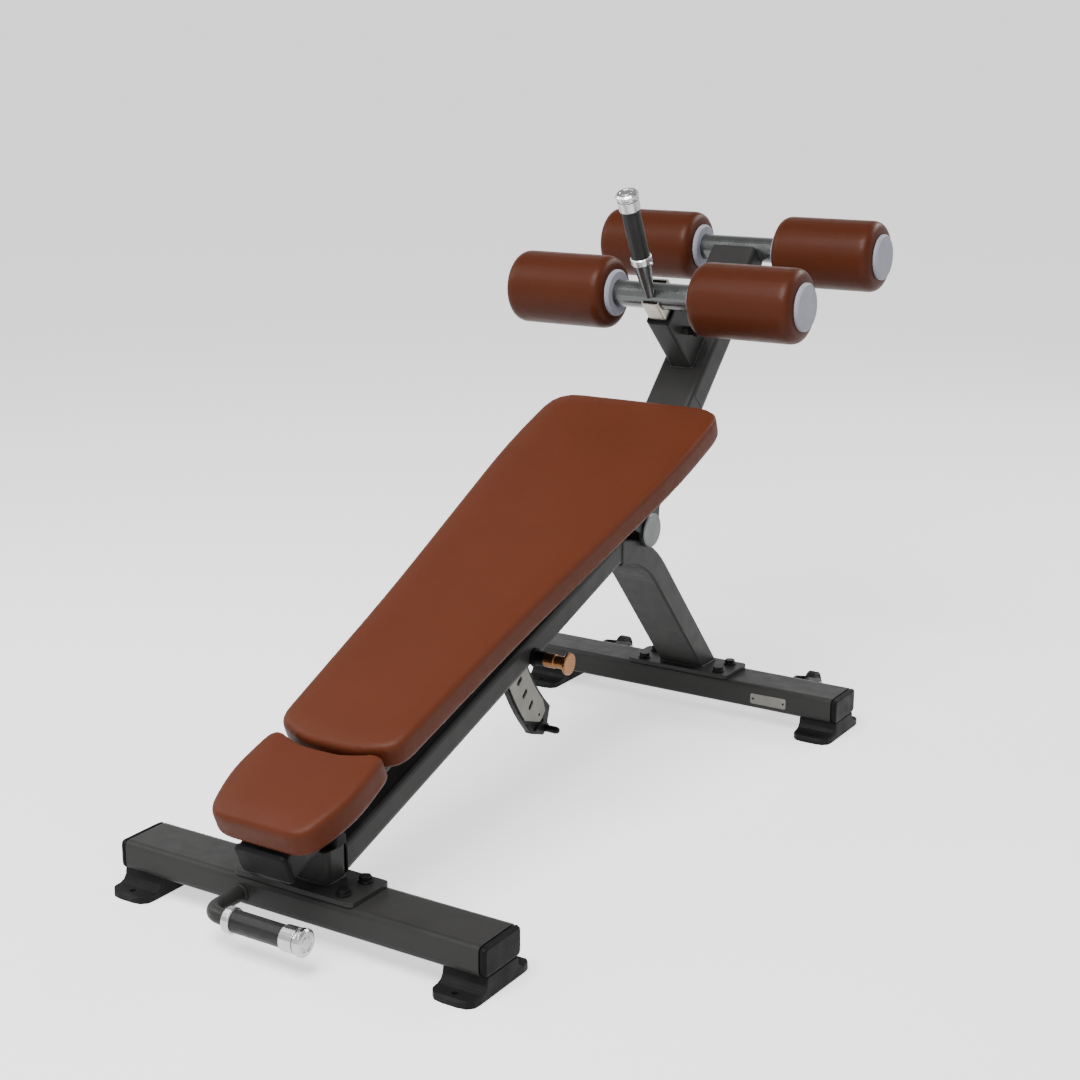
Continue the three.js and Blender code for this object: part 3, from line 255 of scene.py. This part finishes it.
def moulded_plastic(name, colour, roughness=0.42):
    """Satin moulded plastic with a fine spark texture."""
    tree = Tree(name, colour, roughness)
    tree.set("Specular IOR Level", 0.04)
    rounded = tree.rounded(1.2 * MM)
    tree.drive("Roughness", tree.span(tree.noise(50, 4.0), 0.3, 0.7, roughness - 0.06, roughness + 0.08))
    tree.drive("Base Color", tree.mix(tree.noise(20, 3.0), scaled(colour, 0.85), scaled(colour, 1.2)))
    tree.drive("Normal", tree.bump(tree.noise(1600, 2.0), 0.05 * MM, 0.6, rounded))
    return tree.material


def matt_rubber(name, colour, roughness=0.62):
    """Moulded rubber, slightly dusty and pebbled."""
    tree = Tree(name, colour, roughness)
    tree.set("Specular IOR Level", 0.1)
    rounded = tree.rounded(1.5 * MM)
    dust = tree.span(tree.noise(14, 5.0, 0.65), 0.45, 0.8)
    tree.drive("Base Color", tree.mix(dust, colour, scaled(colour, 1.9)))
    tree.drive("Roughness", tree.span(tree.noise(40, 3.0), 0.3, 0.7, roughness - 0.07, roughness + 0.1))
    tree.drive("Normal", tree.bump(tree.cells(700), 0.08 * MM, 0.5, rounded))
    return tree.material


def grip_rubber(name, colour):
    """Soft black grip with a fine diamond pattern."""
    tree = Tree(name, colour, 0.5)
    tree.set("Specular IOR Level", 0.25)
    waves = []
    for turn in (45, -45):
        mapping = tree.nodes.new("ShaderNodeMapping")
        mapping.inputs["Rotation"].default_value = (0.0, math.radians(turn), math.radians(turn))
        tree.links.new(tree.place, mapping.inputs["Vector"])
        wave = tree.nodes.new("ShaderNodeTexWave")
        wave.inputs["Scale"].default_value = 95
        tree.links.new(mapping.outputs["Vector"], wave.inputs["Vector"])
        waves.append(wave.outputs["Fac"])
    pattern = tree.maths("MULTIPLY", *waves)
    tree.drive("Roughness", tree.span(tree.noise(60, 3.0), 0.3, 0.7, 0.42, 0.58))
    tree.drive("Normal", tree.bump(pattern, 0.3 * MM, 0.5))
    return tree.material


def plated_metal(name, colour, roughness, lines=(400, 400, 400)):
    """Plated or brushed metal: fine lines, soft smudges and rounded bright edges."""
    tree = Tree(name, colour, roughness, 1.0)
    rounded = tree.rounded(0.8 * MM)
    fine = tree.noise(1.0, 3.0, 0.6, tree.stretched(lines))
    smudge = tree.span(tree.noise(22, 4.0, 0.6), 0.35, 0.7)
    tree.drive("Roughness", tree.span(smudge, 0.0, 1.0, roughness - 0.05, roughness + 0.1))
    tree.drive("Base Color", tree.mix(smudge, colour, scaled(colour, 0.88)))
    tree.drive("Normal", tree.bump(fine, 0.04 * MM, 0.5, rounded))
    return tree.material


def metallic_enamel(name, colour, roughness=0.26):
    """Dark metallic enamel with small flakes under a clear coat."""
    tree = Tree(name, colour, roughness, 0.75, coat_weight=0.5, coat_roughness=0.12)
    rounded = tree.rounded(1.0 * MM)
    flakes = tree.span(tree.cells(1300), 0.2, 0.8)
    tree.drive("Base Color", tree.mix(flakes, scaled(colour, 1.25), scaled(colour, 0.8)))
    tree.drive("Roughness", tree.span(tree.noise(40, 3.0), 0.3, 0.7, roughness - 0.04, roughness + 0.07))
    tree.drive("Normal", tree.bump(tree.noise(180, 1.0), 0.01 * MM, 0.3, rounded))
    return tree.material


def leatherette(name, colour, roughness=0.46):
    """Stretched vinyl: pebbled grain, faint creasing, uneven gloss."""
    tree = Tree(name, colour, roughness)
    tree.set("Specular IOR Level", 0.07)
    pebbles = tree.cells(720)
    creases = tree.noise(55, 5.0, 0.65)
    cloud = tree.span(tree.noise(6, 4.0, 0.6), 0.3, 0.7)
    base = tree.mix(cloud, scaled(colour, 0.94), scaled(colour, 1.06))
    tree.drive("Base Color", tree.mix(tree.span(pebbles, 0.1, 0.7), scaled(colour, 0.9), base))
    tree.drive("Roughness", tree.span(creases, 0.3, 0.7, roughness - 0.05, roughness + 0.07))
    soft = tree.bump(creases, 0.25 * MM, 0.35)
    tree.drive("Normal", tree.bump(pebbles, 0.12 * MM, 0.45, soft))
    return tree.material


def plywood(name, colour):
    """Board back covered in thin black cloth."""
    tree = Tree(name, colour, 0.8)
    weave = tree.noise(1.0, 2.0, 0.5, tree.stretched((900, 240, 900)))
    tree.drive("Base Color", tree.mix(weave, scaled(colour, 0.7), scaled(colour, 1.3)))
    tree.drive("Normal", tree.bump(weave, 0.2 * MM, 0.5))
    return tree.material


RUST = (0.048, 0.0114, 0.0044)

FINISHES = {
    "frame_paint": powder_coat("frame_paint", (0.0155, 0.0152, 0.0148)),
    "black_plastic": moulded_plastic("black_plastic", (0.004, 0.004, 0.0044)),
    "foot_rubber": matt_rubber("foot_rubber", (0.0035, 0.0035, 0.0036)),
    "black_steel": powder_coat("black_steel", (0.005, 0.005, 0.0053), 0.34),
    "chrome_trim": plated_metal("chrome_trim", (0.47, 0.47, 0.48), 0.24),
    "collar_metal": plated_metal("collar_metal", (0.45, 0.45, 0.45), 0.32),
    "grip_rubber": grip_rubber("grip_rubber", (0.003, 0.003, 0.003)),
    "axle_metal": metallic_enamel("axle_metal", (0.055, 0.058, 0.058)),
    "slide_plating": plated_metal("slide_plating", (0.34, 0.31, 0.27), 0.32, (900, 300, 120)),
    "facing_metal": plated_metal("facing_metal", (0.16, 0.155, 0.14), 0.5, (300, 900, 120)),
    "knob_copper": plated_metal("knob_copper", (0.2, 0.09, 0.036), 0.3),
    "pivot_metal": plated_metal("pivot_metal", (0.11, 0.118, 0.116), 0.42),
    "wheel_axle_zinc": plated_metal("wheel_axle_zinc", (0.55, 0.54, 0.52), 0.4),
    "wheel_rubber": matt_rubber("wheel_rubber", (0.004, 0.004, 0.004), 0.5),
    "cushion_cover": leatherette("cushion_cover", RUST),
    # Painted shade: the rollers' cover is the pads' vinyl darkened to 0.7, standing in for the shade on the
    # rollers' undersides.
    "roller_foam": leatherette("roller_foam", scaled(RUST, 0.7), 0.38),
    "roller_cap": moulded_plastic("roller_cap", (0.155, 0.155, 0.18), 0.38),
    "pad_board": plywood("pad_board", (0.006, 0.0055, 0.005)),
}


def finish(piece, slot_name):
    piece.data.materials.clear()
    piece.data.materials.append(FINISHES[slot_name])


def finish_cad_nodes():
    for part in frame["record"]["subparts"]:
        finish(frame["nodes"][part["node"]], part["material_slot"])


# ---------------------------------------------------------------- upholstery

def apply_modifiers(piece):
    """Leaves the piece's mesh as its modifiers show it."""
    graph = bpy.context.evaluated_depsgraph_get()
    shown = bpy.data.meshes.new_from_object(piece.evaluated_get(graph))
    piece.modifiers.clear()
    old = piece.data
    piece.data = shown
    bpy.data.meshes.remove(old)


def copy_of_node(node, name):
    """A piece of its own with the shape of a CAD node."""
    mesh = frame["nodes"][node].data.copy()
    piece = bpy.data.objects.new(name, mesh)
    bpy.context.scene.collection.objects.link(piece)
    bm = bmesh.new()
    bm.from_mesh(mesh)
    bmesh.ops.remove_doubles(bm, verts=bm.verts, dist=1e-6)
    bm.to_mesh(mesh)
    bm.free()
    return piece


def remesh(piece, voxel):
    modifier = piece.modifiers.new("remesh", "REMESH")
    modifier.mode = "VOXEL"
    modifier.voxel_size = voxel
    apply_modifiers(piece)


def evened(mesh, values, passes):
    """Vertex values averaged with their neighbours' a number of times."""
    links = [[] for _ in mesh.vertices]
    for edge in mesh.edges:
        a, b = edge.vertices
        links[a].append(b)
        links[b].append(a)
    for _ in range(passes):
        sums = [values[i] + sum(values[j] for j in near) for i, near in enumerate(links)]
        values = [total / (1 + len(near)) for total, near in zip(sums, links)]
    return values


def swell(piece, is_held, limit, shrink, pressure=PAD_PRESSURE):
    """Inflates the cover over its foam: held points stay put, the rest rise by no more than limit."""
    mesh = piece.data
    for vertex in mesh.vertices:
        if not is_held(vertex.co):
            vertex.co -= vertex.normal * shrink
    rest = [vertex.co.copy() for vertex in mesh.vertices]
    normals = [vertex.normal.copy() for vertex in mesh.vertices]
    held = piece.vertex_groups.new(name="held")
    held.add([v.index for v in mesh.vertices if is_held(v.co)], 1.0, "REPLACE")
    cloth = piece.modifiers.new("cloth", "CLOTH")
    settings = cloth.settings
    settings.use_pressure = True
    settings.uniform_pressure_force = pressure
    settings.vertex_group_mass = "held"
    settings.effector_weights.gravity = 0.0
    cloth.collision_settings.use_collision = False
    cloth.point_cache.frame_start = 1
    cloth.point_cache.frame_end = PAD_STEPS
    for step in range(1, PAD_STEPS + 1):
        bpy.context.scene.frame_set(step)
    apply_modifiers(piece)
    mesh = piece.data
    rises = [(v.co - start).dot(normal) for v, start, normal in zip(mesh.vertices, rest, normals)]
    rises = evened(mesh, [max(0.0, min(limit, rise)) for rise in rises], SWELL_EVENING)
    for vertex, start, normal, rise in zip(mesh.vertices, rest, normals, rises):
        vertex.co = start + normal * rise
    bpy.context.scene.frame_set(1)


def smooth(piece, passes, factor=0.5):
    modifier = piece.modifiers.new("smooth", "SMOOTH")
    modifier.iterations = passes
    modifier.factor = factor
    apply_modifiers(piece)


def subdivide(piece):
    modifier = piece.modifiers.new("subdivision", "SUBSURF")
    modifier.levels = 1
    modifier.render_levels = 1
    apply_modifiers(piece)


def shade_smooth(piece):
    for polygon in piece.data.polygons:
        polygon.use_smooth = True


def pad_cushion(node, name):
    """A stretched cover over firm foam, stapled under its board."""
    piece = copy_of_node(node, name)
    remesh(piece, PAD_VOXEL)
    swell(piece, lambda p: depth_below_pads(p) > PAD_HELD_DEPTH, PAD_SWELL, PAD_SHRINK)
    smooth(piece, PAD_SMOOTHING)
    subdivide(piece)
    shade_smooth(piece)
    finish(piece, "cushion_cover")
    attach(piece, "carrier")
    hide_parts(node)


def roller_covers():
    """The four roller covers: one is inflated, and the others are mirrored and moved copies of it."""
    source = "front_roller_right_foam"
    middle = centre(source)
    model = copy_of_node(source, "front_roller_right_cover")
    remesh(model, PAD_VOXEL)
    low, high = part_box(source)
    reach = (high.z - low.z) / 2

    def is_held(point):
        radius = math.hypot(point.y - middle.y, point.z - middle.z)
        return radius < reach * ROLLER_HELD_SHARE

    swell(model, is_held, ROLLER_SWELL, ROLLER_SHRINK)
    smooth(model, ROLLER_SMOOTHING)
    subdivide(model)
    shade_smooth(model)
    for end in ("front", "rear"):
        for side, sign in (("right", 1), ("left", -1)):
            name = f"{end}_roller_{side}"
            foam = name + "_foam"
            if foam == source:
                piece = model
            else:
                piece = bpy.data.objects.new(name + "_cover", model.data.copy())
                bpy.context.scene.collection.objects.link(piece)
                move = Matrix.Translation(centre(foam))
                mirror = Matrix.Diagonal((sign, 1, 1, 1))
                piece.data.transform(move @ mirror @ Matrix.Translation(-middle))
                if sign < 0:
                    piece.data.flip_normals()
            finish(piece, "roller_foam")
            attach(piece, name)
            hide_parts(foam)


# ---------------------------------------------------------------- small parts

def new_piece(name, bm, slot_name, body):
    """A finished piece from a bmesh, riding on a body."""
    bmesh.ops.recalc_face_normals(bm, faces=bm.faces)
    mesh = bpy.data.meshes.new(name)
    bm.to_mesh(mesh)
    bm.free()
    piece = bpy.data.objects.new(name, mesh)
    bpy.context.scene.collection.objects.link(piece)
    shade_smooth(piece)
    finish(piece, slot_name)
    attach(piece, body)
    return piece


def outlines_cut_by(node, point, normal):
    """The closed outlines, longest first, along which a plane cuts a CAD node."""
    bm = bmesh.new()
    bm.from_mesh(frame["nodes"][node].data)
    bmesh.ops.remove_doubles(bm, verts=bm.verts, dist=1e-6)
    everything = bm.verts[:] + bm.edges[:] + bm.faces[:]
    found = bmesh.ops.bisect_plane(
        bm, geom=everything, dist=1e-7, plane_co=point, plane_no=normal, clear_inner=True, clear_outer=True,
    )
    edges = [item for item in found["geom_cut"] if isinstance(item, bmesh.types.BMEdge)]
    outlines = []
    while edges:
        chain = list(edges.pop(0).verts)
        while True:
            following = next((e for e in chain[-1].link_edges if e in edges), None)
            if following is None:
                break
            edges.remove(following)
            chain.append(following.other_vert(chain[-1]))
        outlines.append([vertex.co.copy() for vertex in chain[:-1]])
    bm.free()
    return sorted(outlines, key=outline_length, reverse=True)


def outline_length(points):
    return sum((a - b).length for a, b in zip(points, points[1:] + points[:1]))


def even_steps(points, step):
    """Points at even distances round a closed outline."""
    count = max(12, round(outline_length(points) / step))
    spacing = outline_length(points) / count
    placed = []
    left = 0.0
    for a, b in zip(points, points[1:] + points[:1]):
        side = (b - a).length
        while left < side and len(placed) < count:
            placed.append(a.lerp(b, left / side))
            left += spacing
        left -= side
    return placed


def weld_bead(name, node, point, normal, body, which=0, radius=WELD_RADIUS):
    """A rippled bead round the outline of a CAD node in a plane."""
    points = even_steps(outlines_cut_by(node, point, normal)[which], WELD_STEP)
    bm = bmesh.new()
    rings = []
    for i, place in enumerate(points):
        along = (points[(i + 1) % len(points)] - points[i - 1]).normalized()
        across = along.cross(normal).normalized()
        size = radius * (1.0 + WELD_RIPPLE * math.sin(i * math.pi / 1.5))
        ring = []
        for k in range(WELD_SIDES):
            turn = 2 * math.pi * k / WELD_SIDES
            outward = math.cos(turn) * across + math.sin(turn) * normal
            ring.append(bm.verts.new(place + size * outward))
        rings.append(ring)
    for ring, following in zip(rings, rings[1:] + rings[:1]):
        for k in range(WELD_SIDES):
            j = (k + 1) % WELD_SIDES
            bm.faces.new((ring[k], ring[j], following[j], following[k]))
    new_piece(name, bm, "frame_paint", body)


def add_welds():
    """Beads where the tubes meet their plates and each other."""
    stand = "fixed_frame"
    up = Vector((0, 0, 1))
    along = Vector((0, 1, 0))
    plate_top = Vector((0, 0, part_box("front_beam")[1].z + PLATE_RISE + WELD_LIFT))
    weld_bead("front_post_weld", "front_post", plate_top, up, stand)
    weld_bead("rear_leg_weld", "rear_leg", plate_top, up, stand)
    low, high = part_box("main_rail")
    weld_bead("rail_post_weld", "main_rail", low + along * WELD_LIFT, along, stand, radius=RAIL_WELD_RADIUS)
    weld_bead("rail_leg_weld", "main_rail", high - along * WELD_LIFT, along, stand, radius=RAIL_WELD_RADIUS)
    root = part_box("transport_handle_tube")[1]
    weld_bead("transport_handle_weld", "transport_handle_tube", root - along * MM, along, stand)
    out = direction("leg_hold_reach")
    weld_bead("socket_weld", "leg_arm", centre("rear_axle") + out * ARM_FACE, out, "carrier")
    cheeks = Vector((0, centre("wheel_axle_left").y - CHEEK_BEAD, 0))
    for which in range(4):
        name = f"wheel_cheek_weld_{which + 1}"
        weld_bead(name, "rear_beam", cheeks, along, stand, which, CHEEK_WELD_RADIUS)


def rounded_plate(bm, size, place, turn, corner, rim):
    """A plate with rounded corners and a softened rim, centred on a place."""
    outline = []
    for sx, sz, start in ((1, 1, 0), (-1, 1, 90), (-1, -1, 180), (1, -1, 270)):
        for step in range(5):
            angle = math.radians(start + step * 22.5)
            x = sx * (size[0] / 2 - corner) + corner * math.cos(angle)
            z = sz * (size[2] / 2 - corner) + corner * math.sin(angle)
            outline.append((x, z))
    rings = []
    for depth, inset in ((0.5, 0.0), (-0.5 + rim / size[1], 0.0), (-0.5, rim)):
        ring = []
        for x, z in outline:
            inner_x = x - math.copysign(inset, x)
            inner_z = z - math.copysign(inset, z)
            local = Vector((inner_x, depth * size[1], inner_z))
            ring.append(bm.verts.new(place + turn @ local))
        rings.append(ring)
    for lower, upper in zip(rings, rings[1:]):
        for i in range(len(outline)):
            j = (i + 1) % len(outline)
            bm.faces.new((lower[i], lower[j], upper[j], upper[i]))
    bm.faces.new(rings[0])
    bm.faces.new(rings[-1])


def dome(bm, place, normal, radius, height, sides=16):
    """A low domed head standing on a surface."""
    turn = Vector((0, 0, 1)).rotation_difference(normal).to_matrix()
    rings = []
    for rise, width in ((-0.3, 1.0), (0.45, 1.0), (0.85, 0.72), (1.0, 0.35)):
        ring = []
        for k in range(sides):
            angle = 2 * math.pi * k / sides
            reach = radius * width
            local = Vector((reach * math.cos(angle), reach * math.sin(angle), height * rise))
            ring.append(bm.verts.new(place + turn @ local))
        rings.append(ring)
    for lower, upper in zip(rings, rings[1:]):
        for i in range(sides):
            j = (i + 1) % sides
            bm.faces.new((lower[i], lower[j], upper[j], upper[i]))
    bm.faces.new(rings[0])
    bm.faces.new(rings[-1])


def add_name_plate():
    """A blank name plate with two dark rivets on the front of the rear beam."""
    low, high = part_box("rear_beam")
    width, thickness, _ = NAME_PLATE_SIZE
    height = centre("rear_beam_cap_right").z - NAME_PLATE_DROP
    middle = Vector((high.x * NAME_PLATE_PLACE, low.y - thickness / 2, height))
    bm = bmesh.new()
    rounded_plate(bm, NAME_PLATE_SIZE, middle, Matrix.Identity(3), NAME_PLATE_CORNER, NAME_PLATE_RIM)
    new_piece("name_plate", bm, "facing_metal", "fixed_frame")
    bm = bmesh.new()
    for side in (-1, 1):
        place = middle + Vector((side * (width / 2 - RIVET_INSET), -thickness / 2, 0))
        dome(bm, place, Vector((0, -1, 0)), *RIVET_HEAD)
    new_piece("name_plate_rivets", bm, "black_steel", "fixed_frame")


def add_pad_screws():
    """Screw heads under the crossbars that hold the pads' boards."""
    along = PAD_NORMAL.cross(Vector((1, 0, 0)))
    along = along if along.y > 0 else -along
    pivot = centre("pivot_pin")
    bar_back = (PAD_TOP - pivot).dot(PAD_NORMAL) - BOARD_DEPTH - CROSSBAR_DEPTH
    bm = bmesh.new()
    for up_pads, to_side in SCREW_ROWS:
        for side in (-1, 1):
            place = pivot + along * up_pads * MM + PAD_NORMAL * bar_back
            place.x = side * to_side * MM
            dome(bm, place, -PAD_NORMAL, *PAD_SCREW_HEAD)
    new_piece("pad_screws", bm, "wheel_axle_zinc", "carrier")


def add_handle_screw():
    """The small set screw that stands out of the leg handle's collar."""
    bm = bmesh.new()
    low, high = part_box("leg_handle_collar")
    height = low.z + (high.z - low.z) * HANDLE_SCREW_HEIGHT
    place = Vector((high.x - 1.5 * MM, (low.y + high.y) / 2, height))
    dome(bm, place, Vector((1, 0, 0)), *HANDLE_SCREW_HEAD, sides=12)
    new_piece("leg_handle_screw", bm, "collar_metal", "slide_carriage")


# ---------------------------------------------------------------- stage

def floor_light(rings=200):
    """The sky's brightness averaged over all that a level floor receives."""
    low, high = SKY_HEIGHTS
    total = 0.0
    for ring in range(rings):
        height = math.sqrt((ring + 0.5) / rings)
        dimmed = min(1.0, max(0.0, (height - low) / (high - low)))
        total += SKY_HORIZON + dimmed * (SKY_OVERHEAD - SKY_HORIZON)
    return total / rings


def add_camera():
    data = bpy.data.cameras.new("main_camera")
    data.lens = CAMERA_LENS
    data.sensor_width = SENSOR
    camera = bpy.data.objects.new("main_camera", data)
    camera.location = CAMERA_PLACE
    camera.rotation_euler = (math.pi / 2 - CAMERA_ELEVATION, 0, CAMERA_AZIMUTH)
    bpy.context.scene.collection.objects.link(camera)
    bpy.context.scene.camera = camera


def add_floor():
    """A pale floor that is as bright far away as the sky behind it, so that no horizon shows."""
    mesh = bpy.data.meshes.new("floor")
    reach = 200.0
    corners = [(-reach, -reach, 0), (reach, -reach, 0), (reach, reach, 0), (-reach, reach, 0)]
    mesh.from_pydata(corners, [], [(0, 1, 2, 3)])
    floor = bpy.data.objects.new("floor", mesh)
    bpy.context.scene.collection.objects.link(floor)
    tree = Tree("floor", (FLOOR_ALBEDO,) * 3, 1.0)
    tree.set("Specular IOR Level", 0.0)
    tree.set("Emission Color", (1.0, 1.0, 1.0, 1.0))
    tree.set("Emission Strength", SKY_HORIZON - FLOOR_ALBEDO * floor_light())
    mesh.materials.append(tree.material)


def add_world():
    world = bpy.data.worlds.new("studio")
    world.use_nodes = True
    nodes = world.node_tree.nodes
    links = world.node_tree.links
    split = nodes.new("ShaderNodeSeparateXYZ")
    links.new(nodes.new("ShaderNodeTexCoord").outputs["Generated"], split.inputs["Vector"])
    brightness = nodes.new("ShaderNodeMapRange")
    brightness.inputs["From Min"].default_value = SKY_HEIGHTS[0]
    brightness.inputs["From Max"].default_value = SKY_HEIGHTS[1]
    brightness.inputs["To Min"].default_value = SKY_HORIZON
    brightness.inputs["To Max"].default_value = SKY_OVERHEAD
    links.new(split.outputs["Z"], brightness.inputs["Value"])
    background = nodes["Background"]
    background.inputs["Color"].default_value = (1.0, 1.0, 1.0, 1.0)
    links.new(brightness.outputs["Result"], background.inputs["Strength"])
    bpy.context.scene.world = world


def add_area_light(name, place, target, size, power):
    data = bpy.data.lights.new(name, "AREA")
    data.shape = "RECTANGLE"
    data.size, data.size_y = size
    data.energy = power
    light = bpy.data.objects.new(name, data)
    light.location = place
    light.rotation_euler = (Vector(target) - Vector(place)).to_track_quat("-Z", "Y").to_euler()
    bpy.context.scene.collection.objects.link(light)


def add_lights():
    middle = (0.0, 0.0, 0.45)
    add_area_light("key", (0.3, -2.2, 3.7), middle, (2.4, 2.4), 480)
    add_area_light("fill", (-3.0, -1.2, 2.8), middle, (2.0, 2.0), 90)
    add_area_light("rim", (1.6, 3.4, 2.9), middle, (2.6, 1.2), 130)


# ---------------------------------------------------------------- assembly

add_camera()
add_world()
add_lights()
add_floor()
finish_cad_nodes()
pad_cushion("main_pad", "main_cushion")
pad_cushion("head_pad", "head_cushion")
roller_covers()
add_welds()
add_name_plate()
add_pad_screws()
add_handle_screw()
